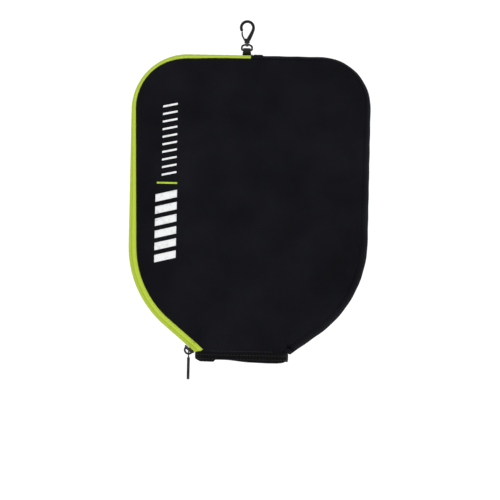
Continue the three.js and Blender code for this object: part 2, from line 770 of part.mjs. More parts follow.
const inkY = -caseBody.panelHalfDepth - GAP;
const inkPlate = (fromX, toX, fromZ, toZ) => boxBetween([fromX, inkY - 0.3, fromZ], [toX, inkY, toZ]);
addPiece(caseGroup, "print_upper", inkPlate(-84, -70, 28, 103.5), "whiteInk");
addPiece(caseGroup, "print_divider", inkPlate(-88.5, -69, 23.2, 24.9), "lime");
addPiece(caseGroup, "print_lower", inkPlate(-89.5, -69, -54.5, 20), "whiteInk");

export default root;
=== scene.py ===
"""The looks of the paddle case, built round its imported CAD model.

Shapes are drawn in millimetres in the case's own frame, whose X is measured from the case's centreline
and whose Z is level with the middle of the case. world() turns them into the model's metres. The front
faces -Y. Where something is given for each side, -1 is the zip side, at -X, and 1 is the gusset side.
"""

import math

import bmesh
import bpy
import numpy as np
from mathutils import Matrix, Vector

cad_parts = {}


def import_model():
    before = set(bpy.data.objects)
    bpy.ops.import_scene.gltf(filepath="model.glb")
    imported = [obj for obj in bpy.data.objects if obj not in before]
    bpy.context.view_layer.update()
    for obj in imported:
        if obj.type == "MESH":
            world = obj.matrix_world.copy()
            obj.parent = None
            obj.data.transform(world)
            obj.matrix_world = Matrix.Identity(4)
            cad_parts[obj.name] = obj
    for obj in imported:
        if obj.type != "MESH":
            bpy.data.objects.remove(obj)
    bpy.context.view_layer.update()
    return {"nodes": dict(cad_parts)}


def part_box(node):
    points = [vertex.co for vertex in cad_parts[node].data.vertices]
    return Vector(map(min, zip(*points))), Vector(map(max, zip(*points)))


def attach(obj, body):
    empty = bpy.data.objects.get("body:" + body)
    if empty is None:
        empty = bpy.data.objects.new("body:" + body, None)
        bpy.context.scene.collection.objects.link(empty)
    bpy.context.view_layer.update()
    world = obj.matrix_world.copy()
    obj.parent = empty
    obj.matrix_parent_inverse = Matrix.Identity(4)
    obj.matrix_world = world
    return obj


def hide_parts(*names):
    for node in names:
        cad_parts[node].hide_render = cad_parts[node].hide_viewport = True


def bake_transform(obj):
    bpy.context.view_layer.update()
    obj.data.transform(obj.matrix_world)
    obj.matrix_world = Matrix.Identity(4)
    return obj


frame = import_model()

# ------------------------------------------------------------------ sizes, in millimetres

MM = 0.001

# The outline: flat top, round corners, straight sides, round shoulders, straight diagonals to the neck.
HALF_WIDTH = 114.6
TOP = 148.0
CORNER = {-1: 54.0, 1: 48.4}
SHOULDER = {-1: (98.84, -36.2, 50.03), 1: (111.7, -28.4, 53.8)}  # radius, its centre's height, degrees
DIAGONAL = {-1: 41.2, 1: 32.5}
END_CUT = {-1: (2.8, 9.0), 1: (5.0, 14.0)}  # how far the seam's end is drawn down, and over what length

# Half depths and thicknesses.
SEAM_DEPTH = 11.0
PANEL_DEPTH = 12.2
PANEL_THICKNESS = 2.8
WALL = 1.5

# The neck: it deepens from FLARE_TOP down to the hem, a folded band that stands a little proud of it.
NECK_X = -3.1
NECK_HALF = 42.3
NECK_DEPTH = 20.4
NECK_POWER = 4  # of the superellipse that it follows
FLARE_TOP = -66.0
HEM_X = -4.0
HEM_HALF = 44.6
HEM_TOP = -137.4
HEM_BOTTOM = -145.2
HEM_THICKNESS = 3.2
TUCK = 1.0  # how far inside the hem's outer face the panels and walls meet it

# The fold that the front opens about, and half the width over which the cloth bends there.
FOLD_X = -1.25
BEND_HALF = 13.0

gusset_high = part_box("side_gusset")[1]
CASE_ORIGIN = np.array([gusset_high[0] - HALF_WIDTH * MM, 0.0, gusset_high[2] - TOP * MM])


def world(x, y, z):
    """A place in the case's frame, in millimetres, as one in the model's, in metres."""
    return np.stack(np.broadcast_arrays(x, y, z), axis=-1) * MM + CASE_ORIGIN


def smooth(x, low, high):
    """Rises from 0 at low to 1 at high, level at both ends."""
    t = np.clip((np.asarray(x, float) - low) / (high - low), 0, 1)
    return t * t * (3 - 2 * t)


def rounded_rim(from_edge, width):
    """Rises from 0 at an edge to 1 within a width, as a quarter of a circle does."""
    return np.sqrt(1 - (1 - np.clip(from_edge / width, 0, 1)) ** 2)


def flattened(v, power):
    """A sine or cosine flattened by a power below 1, for a section with fuller corners."""
    return np.sign(v) * np.abs(v) ** power


# ------------------------------------------------------------------ mesh helpers


def new_mesh(name, points, faces, uv=None):
    """A smooth mesh object. uv has one pair for each point, in millimetres across and along."""
    data = bpy.data.meshes.new(name)
    data.from_pydata([tuple(p) for p in points], [], [tuple(int(i) for i in f) for f in faces])
    if uv is not None:
        layer = data.uv_layers.new(name="UVMap")
        loops = np.empty(len(data.loops), int)
        data.loops.foreach_get("vertex_index", loops)
        layer.data.foreach_set("uv", np.asarray(uv, np.float32)[loops].ravel())
    mesh = bmesh.new()
    mesh.from_mesh(data)
    bmesh.ops.recalc_face_normals(mesh, faces=mesh.faces)
    for face in mesh.faces:
        face.smooth = True
    mesh.to_mesh(data)
    mesh.free()
    piece = bpy.data.objects.new(name, data)
    bpy.context.scene.collection.objects.link(piece)
    return piece


def grid_quads(index):
    """The quads between the points of a grid, given their numbers."""
    quads = np.stack([index[:-1, :-1], index[1:, :-1], index[1:, 1:], index[:-1, 1:]], axis=-1)
    return quads.reshape(-1, 4)


def shell_faces(rows, columns, first=0):
    """Faces of a closed sheet: two grids of points and four edges. The points' numbers start at first."""
    upper = np.arange(rows * columns).reshape(rows, columns) + first
    lower = upper + rows * columns
    faces = [grid_quads(upper), grid_quads(lower)]
    for edge, below in (
        (upper[0], lower[0]),
        (upper[-1], lower[-1]),
        (upper[:, 0], lower[:, 0]),
        (upper[:, -1], lower[:, -1]),
    ):
        faces.append(np.stack([edge[:-1], edge[1:], below[1:], below[:-1]], axis=-1))
    return np.concatenate(faces)


def shell(name, outer, inner, across, along):
    """A closed sheet with thickness. across and along are in millimetres, for its weave."""
    points = np.concatenate([outer.reshape(-1, 3), inner.reshape(-1, 3)])
    uv = np.stack(np.broadcast_arrays(across, along), axis=-1).reshape(-1, 2)
    return new_mesh(name, points, shell_faces(*outer.shape[:2]), np.concatenate([uv, uv]))


def arc_points(centre, radii, low, high, count):
    """Points along an arc of an ellipse, between two angles in degrees."""
    angle = np.radians(np.linspace(low, high, count))
    return np.asarray(centre) + np.asarray(radii) * np.stack([np.cos(angle), np.sin(angle)], axis=-1)


def run_along(points):
    """How far along a line each of its points is, in the points' own unit."""
    return np.concatenate([[0], np.cumsum(np.linalg.norm(np.diff(points, axis=0), axis=1))])


def at_lengths(wanted, run, values):
    """The rows of values, one for each place in run, read off at other places along it."""
    return np.stack([np.interp(wanted, run, column) for column in values.T], axis=-1)


def ring_faces(rows, columns):
    """Faces of a round form: a grid of points that joins up along each row, capped at both ends."""
    index = np.arange(rows * columns).reshape(rows, columns)
    ahead = np.roll(index, -1, axis=1)
    quads = np.stack([index[:-1], ahead[:-1], ahead[1:], index[1:]], axis=-1).reshape(-1, 4)
    return [*quads.tolist(), index[0][::-1].tolist(), index[-1].tolist()]


def loop_faces(rows, columns):
    """Faces of a closed ring of round stock: a grid of points that joins up both ways."""
    index = np.arange(rows * columns).reshape(rows, columns)
    ahead, onward = np.roll(index, -1, axis=1), np.roll(index, -1, axis=0)
    return np.stack([index, ahead, np.roll(onward, -1, axis=1), onward], axis=-1).reshape(-1, 4).tolist()


def tube_parts(path, radius, sides, closed):
    """Points, faces and uv of round stock along a path in metres. Its radius may change on the way."""
    path = np.asarray(path, float)
    count = len(path)
    radius = np.broadcast_to(np.asarray(radius, float), (count,))
    if closed:
        along = np.roll(path, -1, axis=0) - np.roll(path, 1, axis=0)
    else:
        along = np.gradient(path, axis=0)
    along /= np.linalg.norm(along, axis=1, keepdims=True)
    side = np.empty_like(along)
    start = np.cross(along[0], (0.0, 1.0, 0.0) if abs(along[0][1]) < 0.9 else (1.0, 0.0, 0.0))
    side[0] = start / np.linalg.norm(start)
    for i in range(1, count):  # each ring carries on from the last, so that the stock doesn't twist
        carried = side[i - 1] - along[i] * np.dot(side[i - 1], along[i])
        side[i] = carried / np.linalg.norm(carried)
    third = np.cross(along, side)
    angles = 2 * np.pi * np.arange(sides) / sides
    ring = side[:, None] * np.cos(angles)[:, None] + third[:, None] * np.sin(angles)[:, None]
    points = path[:, None] + ring * radius[:, None, None]
    uv = np.stack(np.broadcast_arrays(angles[None, :], run_along(path)[:, None] / MM), axis=-1)
    faces = loop_faces(count, sides) if closed else ring_faces(count, sides)
    return points.reshape(-1, 3), faces, uv.reshape(-1, 2)


def tubes(name, paths, radius, sides, closed=False):
    """One piece made of several lengths of round stock."""
    points, faces, uvs = [], [], []
    first = 0
    for path in paths:
        part_points, part_faces, part_uv = tube_parts(path, radius, sides, closed)
        points.append(part_points)
        faces.extend([[i + first for i in face] for face in part_faces])
        uvs.append(part_uv)
        first += len(part_points)
    return new_mesh(name, np.concatenate(points), faces, np.concatenate(uvs))


# ------------------------------------------------------------------ materials


class Nodes:
    """A material's node tree, with short calls for the nodes used here."""

    def __init__(self, name):
        self.material = bpy.data.materials.new(name)
        self.material.use_nodes = True
        self.tree = self.material.node_tree
        self.shader = self.tree.nodes["Principled BSDF"]

    def add(self, kind, **settings):
        node = self.tree.nodes.new(kind)
        for key, value in settings.items():
            setattr(node, key, value)
        return node

    def link(self, source, target):
        self.tree.links.new(source, target)

    def set(self, **values):
        for name, value in values.items():
            self.shader.inputs[name.replace("_", " ")].default_value = value

    def coordinates(self, source):
        return self.add("ShaderNodeTexCoord").outputs[source]

    def noise(self, vector, scale, detail=3.0, roughness=0.5):
        node = self.add("ShaderNodeTexNoise")
        node.inputs["Scale"].default_value = scale
        node.inputs["Detail"].default_value = detail
        node.inputs["Roughness"].default_value = roughness
        self.link(vector, node.inputs["Vector"])
        return node.outputs["Fac"]

    def wave(self, vector, scale, direction, distortion=0.0):
        node = self.add("ShaderNodeTexWave", bands_direction=direction)
        node.inputs["Scale"].default_value = scale
        node.inputs["Distortion"].default_value = distortion
        self.link(vector, node.inputs["Vector"])
        return node.outputs["Fac"]

    def maths(self, operation, a, b):
        node = self.add("ShaderNodeMath", operation=operation)
        for socket, value in zip(node.inputs, (a, b)):
            if isinstance(value, (int, float)):
                socket.default_value = value
            else:
                self.link(value, socket)
        return node.outputs[0]

    def ramp(self, factor, stops):
        node = self.add("ShaderNodeValToRGB")
        elements = node.color_ramp.elements
        for element, (place, colour) in zip(elements, (stops[0], stops[-1])):
            element.position = place
            element.color = (*colour, 1)
        for place, colour in stops[1:-1]:
            elements.new(place).color = (*colour, 1)
        self.link(factor, node.inputs["Fac"])
        return node.outputs["Color"]

    def bump(self, height, distance, strength=1.0):
        node = self.add("ShaderNodeBump")
        node.inputs["Strength"].default_value = strength
        node.inputs["Distance"].default_value = distance
        self.link(height, node.inputs["Height"])
        self.link(node.outputs["Normal"], self.shader.inputs["Normal"])


def bands(pitch):
    """The scale of a wave texture whose bands stand about this many millimetres apart."""
    return 0.31831 / pitch


def knit(name, dark, light):
    """Jersey laminated to neoprene: columns of small knit stitches, a faint mottle and a soft sheen."""
    n = Nodes(name)
    n.set(Roughness=0.92, Sheen_Weight=0.04, Sheen_Roughness=0.4, Specular_IOR_Level=0.05)
    n.shader.inputs["Sheen Tint"].default_value = (0.75, 0.8, 1.0, 1)
    uv = n.coordinates("UV")
    columns = n.wave(uv, bands(0.9), "X", 0.6)
    courses = n.wave(uv, bands(0.9 / 1.35), "Y", 0.6)
    loops = n.maths("MULTIPLY", columns, courses)
    place = n.coordinates("Object")
    mottle = n.noise(place, 26, 4)
    fuzz = n.noise(place, 1500, 2)
    blend = n.maths("ADD", n.maths("MULTIPLY", loops, 0.35), n.maths("MULTIPLY", mottle, 0.65))
    n.link(n.ramp(blend, [(0.2, dark), (0.85, light)]), n.shader.inputs["Base Color"])
    n.bump(n.maths("ADD", loops, n.maths("MULTIPLY", fuzz, 0.5)), 0.00022, 0.8)
    return n.material


def ribbed(name, dark, light):
    """Elastic binding: fine ribs along the band, with a crosswise weft."""
    n = Nodes(name)
    n.set(Roughness=0.85, Sheen_Weight=0.03, Specular_IOR_Level=0.06)
    uv = n.coordinates("UV")
    ribs = n.wave(uv, bands(1.1), "X", 0.2)
    weft = n.wave(uv, bands(0.55), "Y", 0.5)
    weave = n.maths("ADD", ribs, n.maths("MULTIPLY", weft, 0.5))
    mottle = n.noise(n.coordinates("Object"), 60, 3)
    blend = n.maths("ADD", n.maths("MULTIPLY", weave, 0.4), n.maths("MULTIPLY", mottle, 0.5))
    n.link(n.ramp(blend, [(0.2, dark), (0.95, light)]), n.shader.inputs["Base Color"])
    n.bump(weave, 0.00025, 0.9)
    return n.material


def zip_tape(name):
    """Woven lime tape: a fine herringbone. A line of painted shade runs along its middle, and a painted
    highlight makes the front-facing part from there to the seam brighter.
    """
    n = Nodes(name)
    n.set(Roughness=0.7, Sheen_Weight=0.08, Specular_IOR_Level=0.2)
    n.shader.inputs["Sheen Tint"].default_value = (0.95, 1.0, 0.6, 1)
    uv = n.coordinates("UV")
    twill = n.wave(uv, 0.5, "DIAGONAL", 0.4)
    weft = n.wave(uv, 0.75, "Y", 0.3)
    weave = n.maths("ADD", twill, n.maths("MULTIPLY", weft, 0.6))
    split = n.add("ShaderNodeSeparateXYZ")
    n.link(uv, split.inputs[0])
    across = n.maths("DIVIDE", split.outputs["X"], 14.0)  # 0 beside the coil, about 1 at the seam
    mottle = n.noise(n.coordinates("Object"), 45, 4)
    shade = n.maths("ADD", across, n.maths("MULTIPLY", n.maths("SUBTRACT", mottle, 0.5), 0.06))
    shade = n.maths("ADD", shade, n.maths("MULTIPLY", n.maths("SUBTRACT", weave, 0.8), 0.03))
    # painted light: the strip by the seam, which faces the front, is painted lighter than the side-facing
    # strip by the coil, with a line of painted shade between them
    outer, inner, crease = (0.445, 0.575, 0.036), (0.52, 0.675, 0.052), (0.27, 0.365, 0.018)
    stops = [(0.0, outer), (0.6, outer), (0.64, crease), (0.68, inner), (1.0, inner)]
    n.link(n.ramp(shade, stops), n.shader.inputs["Base Color"])
    n.bump(weave, 0.0002, 0.9)
    return n.material


def nylon(name, colour):
    """Moulded nylon of the zip's coils, faintly grained."""
    n = Nodes(name)
    n.set(Roughness=0.38, Specular_IOR_Level=0.5)
    grain = n.noise(n.coordinates("Object"), 400, 2)
    low = tuple(0.8 * c for c in colour)
    n.link(n.ramp(grain, [(0.3, low), (0.7, colour)]), n.shader.inputs["Base Color"])
    n.bump(grain, 0.00005, 0.4)
    return n.material


def enamel(name):
    """Black enamel on die-cast metal: a slightly pebbled film, rubbed thinner and greyer on edges."""
    n = Nodes(name)
    n.set(Metallic=0.0, Specular_IOR_Level=0.14)
    place = n.coordinates("Object")
    pebble = n.noise(place, 1800, 3)
    cloud = n.noise(place, 180, 3)
    wear = n.add("ShaderNodeNewGeometry").outputs["Pointiness"]
    rubbed = n.maths("ADD", wear, n.maths("MULTIPLY", n.maths("SUBTRACT", cloud, 0.5), 0.06))
    stops = [(0.5, (0.0045, 0.0045, 0.005)), (0.56, (0.012, 0.012, 0.013)), (0.66, (0.07, 0.07, 0.072))]
    n.link(n.ramp(rubbed, stops), n.shader.inputs["Base Color"])
    gloss = n.add("ShaderNodeMapRange")
    gloss.inputs["To Min"].default_value = 0.34
    gloss.inputs["To Max"].default_value = 0.52
    n.link(cloud, gloss.inputs["Value"])
    n.link(gloss.outputs["Result"], n.shader.inputs["Roughness"])
    n.bump(pebble, 0.00004, 0.5)
    return n.material


def strap_weave(name):
    """Charcoal polypropylene webbing: coarse twill with bright and dull yarns."""
    n = Nodes(name)
    n.set(Roughness=0.62, Sheen_Weight=0.05, Specular_IOR_Level=0.15)
    uv = n.coordinates("UV")
    twill = n.wave(uv, 0.36, "DIAGONAL", 0.3)
    ends = n.wave(uv, 0.42, "X", 0.2)
    weave = n.maths("MULTIPLY", twill, n.maths("ADD", n.maths("MULTIPLY", ends, 0.6), 0.4))
    stops = [(0.05, (0.008, 0.008, 0.009)), (0.8, (0.04, 0.04, 0.043))]
    n.link(n.ramp(weave, stops), n.shader.inputs["Base Color"])
    n.bump(weave, 0.0003, 1.0)
    return n.material


def twisted_thread(name, colour):
    """Sewing thread, darker between its plies."""
    n = Nodes(name)
    n.set(Roughness=0.6, Specular_IOR_Level=0.35)
    ply = n.wave(n.coordinates("UV"), 0.9, "DIAGONAL", 0.2)
    low = tuple(0.5 * c for c in colour)
    n.link(n.ramp(ply, [(0.1, low), (0.9, colour)]), n.shader.inputs["Base Color"])
    n.bump(ply, 0.00006, 0.8)
    return n.material


def ink(name, colour):
    """Heat-pressed ink: a thin film that lets the knit through and is a little uneven."""
    n = Nodes(name)
    n.set(Roughness=0.55, Specular_IOR_Level=0.3)
    place = n.coordinates("Object")
    uneven = n.noise(place, 220, 5, 0.65)
    low = tuple(0.72 * c for c in colour)
    n.link(n.ramp(uneven, [(0.28, low), (0.5, colour)]), n.shader.inputs["Base Color"])
    grain = n.noise(place, 1500, 2)
    n.bump(grain, 0.00008, 0.5)
    return n.material


NEOPRENE = knit("neoprene_knit", (0.004, 0.0041, 0.0056), (0.0122, 0.0124, 0.0162))
BINDING = ribbed("binding_rib", (0.0018, 0.0018, 0.0022), (0.0062, 0.0062, 0.0072))
LIME_TAPE = zip_tape("lime_zip_tape")
LIME_COIL = nylon("lime_nylon", (0.42, 0.6, 0.03))
BLACK_METAL = enamel("black_enamel")
WEBBING = strap_weave("charcoal_webbing")
THREAD = twisted_thread("dark_thread", (0.03, 0.03, 0.034))
WHITE_INK = ink("white_ink", (0.82, 0.83, 0.84))
LIME_INK = ink("lime_ink", (0.42, 0.6, 0.03))


def finish_piece(piece, material, body, replaces=()):
    """Gives a piece its material and slot and the body it rides on, and hides the CAD nodes it stands for.
    """
    piece.data.materials.clear()
    piece.data.materials.append(material)
    if body:
        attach(piece, body)
    if replaces:
        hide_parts(*replaces)
    return piece


# ------------------------------------------------------------------ outline of the case


def drawn_to_hem(depth, x, z):
    """A half depth of the case, drawn out to the hem's curve over the last of the way down to it."""
    beside = np.clip(np.abs(x - HEM_X) / (HEM_HALF - TUCK), 0, 1)
    at_hem = (NECK_DEPTH - TUCK) * (1 - beside**NECK_POWER) ** (1 / NECK_POWER)
    return depth + (at_hem - depth) * (1 - smooth(z, HEM_TOP + 1, HEM_TOP + 14))


def gone_down(z, high, low):
    """How much of the way from a high level to a low one has been gone at z."""
    return np.clip((high - z) / (high - low), 0, 1)


def seam_inset(side, x, z):
    """How far inside the outline the side wall is sewn to the panels. It grows on the way down."""
    if side < 0:
        sag = 1.4 * np.exp(-(((x + 66) / 24) ** 2)) * smooth(z, 100, 140)  # by the zip's top corner
        return 3.3 + sag + 4.7 * gone_down(z, TOP, -40)
    return 3.6 + 1.9 * gone_down(z, TOP, 103) + 2 * gone_down(z, 100, -40)


class Side:
    """One side of the outline, from the top centre down to the neck. Its arrays have a row a station."""

    def __init__(self, side, steps):
        corner = CORNER[side]
        radius, centre_z, sweep = SHOULDER[side]
        down = math.radians(sweep)
        corner_x = side * (HALF_WIDTH - corner)
        arc_x = side * (HALF_WIDTH - radius)
        along = np.array([-side * math.sin(down), -math.cos(down)])
        tangent = np.array([arc_x + side * radius * math.cos(down), centre_z - radius * math.sin(down)])
        normal = np.array([side * math.cos(down), -math.sin(down)])
        parts = []

        def line(a, b, direction, count):
            t = np.linspace(0, 1, count + 1)[:, None]
            parts.append((a * (1 - t) + b * t, np.repeat([direction], count + 1, axis=0)))

        def arc(centre, r, low, high, count):
            angle = np.linspace(low, high, count + 1)[:, None]
            outward = np.concatenate([side * np.sin(angle), np.cos(angle)], axis=1)
            parts.append((np.array(centre) + r * outward, outward))

        start = np.array([FOLD_X - side * 0.1, TOP])
        level = np.array([side, 0.0])
        line(start, np.array([corner_x, TOP]), np.array([0.0, 1.0]), steps[0])
        arc((corner_x, TOP - corner), corner, 0, math.pi / 2, steps[1])
        high = np.array([side * HALF_WIDTH, TOP - corner])
        line(high, np.array([side * HALF_WIDTH, centre_z]), level, steps[2])
        arc((arc_x, centre_z), radius, math.pi / 2, math.pi / 2 + down, steps[3])
        end = tangent + along * DIAGONAL[side]
        line(tangent, end, normal, steps[4])
        # Each part starts where the last one ends, so its first station is left out.
        self.at = np.concatenate([parts[0][0], *(places[1:] for places, _ in parts[1:])])
        self.normal = np.concatenate([parts[0][1], *(outwards[1:] for _, outwards in parts[1:])])
        self.below_top = steps[0]
        self.along_path = np.stack([side * self.normal[:, 1], -side * self.normal[:, 0]], axis=-1)
        self.inset = seam_inset(side, self.at[:, 0], self.at[:, 1])
        self.to_end = np.linalg.norm(self.at - end, axis=1)
        drawn, over = END_CUT[side]
        self.cut = drawn * np.clip(1 - self.to_end / over, 0, 1)
        self.length = run_along(self.at)
        sewn = self.seam(0)
        self.seam_depth = drawn_to_hem(SEAM_DEPTH, sewn[:, 0], sewn[:, 1])[:, None]

    def place(self, inset, y):
        """Places across the wall, for arrays of inset and y with a row for each station."""
        shear = self.cut[:, None] * np.clip(inset / self.inset[:, None], 0, 1.1)
        flat = self.at[:, None] - self.normal[:, None] * inset[..., None]
        flat = flat + self.along_path[:, None] * shear[..., None]
        return world(flat[..., 0], y, flat[..., 1])

    def seam(self, gap):
        """The line a gap inside the seam, as (x, z)."""
        return self.at - self.normal * (self.inset + gap)[:, None] + self.along_path * self.cut[:, None]


STATIONS = (40, 34, 60, 44, 26)  # along the top, corner, side, shoulder and diagonal
zip_side = Side(-1, STATIONS)
gusset_side = Side(1, STATIONS)

# ------------------------------------------------------------------ panels


def panel_depth(x, z, from_seam, along):
    """Half the case's depth at a place on a panel, with the roll, puckers and waves of sewn foam."""
    at_seam, roll = 10.35, 1.15
    rim = at_seam + roll * rounded_rim(from_seam, 2.2)
    body = rim + (PANEL_DEPTH - at_seam - roll) * smooth(from_seam, 1, 14)
    half_flare = 40
    beside = np.clip(np.abs(x - NECK_X) / half_flare, 0, 1)
    flare = (NECK_DEPTH - PANEL_DEPTH) * (1 - smooth(z, HEM_TOP, FLARE_TOP)) * (1 - beside**NECK_POWER)
    near = np.exp(-from_seam / 5) * smooth(from_seam, 0.4, 2.5)
    puckers = 0.16 * near * (np.sin(along * 0.83) + 0.6 * np.sin(along * 0.47 + 1.3))
    waves = 0.28 * np.sin(x * 0.043 + z * 0.021) * np.sin(z * 0.034 - 0.6)
    waves = (waves + 0.12 * np.sin(x * 0.09 - z * 0.06)) * smooth(from_seam, 4, 26)
    folds = 0.45 * np.sin(x * 0.21 + 0.5) * smooth(-z, 80, 128) * smooth(from_seam, 3, 12)
    depth = np.minimum(body + flare + puckers + waves + folds, NECK_DEPTH)
    return drawn_to_hem(depth, x, z)


WELL_INSIDE = 20.0  # from a seam: past its roll and puckers


def panel(name, sign):
    """A whole panel, front (sign -1) or back (sign 1), from the side walls' seams down to the hem."""
    lap = 0.2  # over the seam
    left = zip_side.seam(-lap)[zip_side.below_top :]
    right = gusset_side.seam(-lap)[gusset_side.below_top :]
    run_left = zip_side.length[zip_side.below_top :]
    reach = NECK_HALF - 0.2
    last = np.array([[NECK_X - reach, HEM_TOP + 0.1], [NECK_X + reach, HEM_TOP + 0.1]])
    steps = np.linspace(0, 1, 7)[1:, None]
    bulge = 0.8 * np.sin(np.pi * steps) * [[1, 0]]  # laps the corner over the wall's end
    left = np.concatenate([left, left[-1] * (1 - steps) + last[0] * steps - bulge])
    right = np.concatenate([right, right[-1] * (1 - steps) + last[1] * steps + bulge])
    run_left = np.concatenate([run_left, run_left[-1] + 5 * steps[:, 0]])
    even = np.linspace(0, 1, 120)
    share = 0.6 * (0.5 - 0.5 * np.cos(np.pi * even)) + 0.4 * even  # columns stand closer by the seams
    x = left[:, :1] + (right[:, :1] - left[:, :1]) * share
    z = left[:, 1:] + (right[:, 1:] - left[:, 1:]) * share
    from_side = np.minimum(x - left[:, :1], right[:, :1] - x)
    from_top = left[0, 1] - z
    from_seam = np.maximum(np.minimum(from_side, from_top), 0)
    along = np.where(from_top < from_side, x, run_left[:, None])
    depth = panel_depth(x, z, from_seam, along)
    outer = world(x, sign * depth, z)
    inner = world(x, sign * (depth - PANEL_THICKNESS), z)
    return shell(name, outer, inner, x, z)


BEND_START = world(FOLD_X + BEND_HALF, 0, 0)
BEND_END = world(FOLD_X - BEND_HALF, 0, 0)

front = panel("front_panel", -1)
finish_piece(front, NEOPRENE, None, ["front_panel_fixed", "front_panel_flap"])
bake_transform(front)
back = finish_piece(panel("rear_panel", 1), NEOPRENE, "shell", ["back_panel"])

# ------------------------------------------------------------------ side walls


ACROSS_WALL = 9.0  # millimetres across a wall for each radian round its section, for its weave


def wall_section(side, middle, angles, depth):
    """Inset and y across the wall, from the outline (angle 0) to the seam (90 degrees)."""
    inset = side.inset[:, None]
    reach = side.seam_depth - middle
    c, s = np.cos(angles), np.sin(angles)
    length = np.hypot(reach * c, inset * s)
    across = inset * (1 - c) + depth * reach * c / length
    y = middle + reach * s - depth * inset * s / length
    return across, y


def rolled_in(angles):
    """How deep the wall's edge rolls in where it is sewn."""
    return 0.65 * smooth(angles, 1.32, np.pi / 2)


def side_band(name, sign, middle):
    """Half of the zip's side wall, from beside the coil to the front seam (sign -1) or back seam (1)."""
    angles = np.linspace(0, np.pi / 2, 16)[None, :]
    middle = np.broadcast_to(np.asarray(middle, float).reshape(-1, 1), zip_side.seam_depth.shape)
    roll = rolled_in(angles)
    swell = 0.35 * np.sin(2 * angles) ** 2
    ripple = 0.07 * np.sin(zip_side.length * 0.9)[:, None] * np.sin(2 * angles)
    over, y_over = wall_section(zip_side, middle, angles, roll - swell - ripple)
    under, y_under = wall_section(zip_side, middle, angles, roll + WALL)
    outer = zip_side.place(over, sign * y_over)
    inner = zip_side.place(under, sign * y_under)
    return shell(name, outer, inner, angles * ACROSS_WALL, zip_side.length[:, None])


TAPE_EDGE = 1.8  # from the middle of the zip, where the coil is sewn on
PARTING = 1.7 * (1 - smooth(zip_side.to_end, 6, 9))  # the slider holds the front tape away at its end
front_tape = side_band("front_zip_tape", -1, TAPE_EDGE + PARTING)
finish_piece(front_tape, LIME_TAPE, "flap", ["zip_tape_front"])
rear_tape = side_band("rear_zip_tape", 1, TAPE_EDGE)
finish_piece(rear_tape, LIME_TAPE, "shell", ["zip_tape_back"])


def gusset():
    """The strip round the other side, from the front seam over the edge to the back seam."""
    angles = np.linspace(-np.pi / 2, np.pi / 2, 31)[None, :]
    lift = np.abs(angles)
    roll = rolled_in(lift)
    ripple = 0.1 * np.sin(gusset_side.length * 0.31)[:, None] * np.cos(angles) ** 2
    over, y_over = wall_section(gusset_side, 0, lift, roll - 0.15 - ripple)
    under, y_under = wall_section(gusset_side, 0, lift, roll + WALL)
    sign = np.sign(angles)
    outer = gusset_side.place(over, sign * y_over)
    inner = gusset_side.place(under, sign * y_under)
    return shell("gusset_strip", outer, inner, angles * ACROSS_WALL, gusset_side.length[:, None])


gusset_strip = finish_piece(gusset(), NEOPRENE, "shell", ["side_gusset"])


def gusset_fold():
    """The gusset's end, folded back on itself beside the webbing."""
    start, end, half, inset = 0.8, 10.6, 9.4, 3.6
    x = np.linspace(start, end, 22)[:, None]
    y = np.linspace(-half, half, 30)[None, :]
    drop = inset * (1 - np.sqrt(1 - np.clip(np.abs(y) / SEAM_DEPTH, 0, 1) ** 2))
    rim = rounded_rim(np.minimum(x - start, end - x), 1.6) * rounded_rim(half - np.abs(y), 1.6)
    height = TOP - drop + 0.1 + 1.05 * rim
    outer = world(x, y, height)
    inner = world(x, y, TOP - drop - 0.3)
    return shell("gusset_fold", outer, inner, y, x)


fold = finish_piece(gusset_fold(), NEOPRENE, "shell", ["gusset_end_fold"])

# ------------------------------------------------------------------ zip coils


def zip_coil(name, sign, shift, body, node):
    """The nylon coil of one tape: loops that reach across the middle, between those of the other."""
    pitch = 1.45
    s = np.arange(0.6, zip_side.length[-1] - 1.8, pitch / 12)
    turn = 2 * np.pi * s / pitch + (0 if sign < 0 else np.pi)
    at = at_lengths(s, zip_side.length, zip_side.at)
    normal = at_lengths(s, zip_side.length, zip_side.normal)
    apart = np.interp(s, zip_side.length, shift)
    # Each loop is 1.6 mm deep and 1.9 mm wide, from wire 0.54 mm thick.
    inset = 1.05 + 0.8 * np.sin(turn)
    y = sign * (0.7 + apart + 0.95 * np.cos(turn))
    flat = at - normal * inset[:, None]
    coil = tubes(name, [world(flat[:, 0], y, flat[:, 1])], 0.27 * MM, sides=5)
    return finish_piece(coil, LIME_COIL, body, [node])


zip_coil("front_coil", -1, PARTING, "flap", "zip_coil_front")
zip_coil("rear_coil", 1, 0 * PARTING, "shell", "zip_coil_back")

# ------------------------------------------------------------------ hem of the neck


ACROSS_BAND = 8.0  # millimetres from its top to its fold


def hem_outline(angle, inset):
    """A place round the neck: angle 0 at its gusset end, then the front, 180 degrees at its zip end."""
    power = 2 / NECK_POWER
    c, s = np.cos(angle), np.sin(angle)
    x = HEM_X + (HEM_HALF - inset) * flattened(c, power)
    y = -(NECK_DEPTH - inset) * flattened(s, power)
    return x, y


def hem_bottom(x, front_only):
    """The lower edge: it steps up where the binding ends and sags a little beside it."""
    if not front_only:
        return HEM_BOTTOM + 0 * x
    step = 2.1 * smooth(x, -32, -29.5) * (1 - smooth(x, -22, 6))
    return HEM_BOTTOM - 0.5 + step - 0.5 * smooth(x, 4, 24) * (1 - smooth(x, 30, 38))


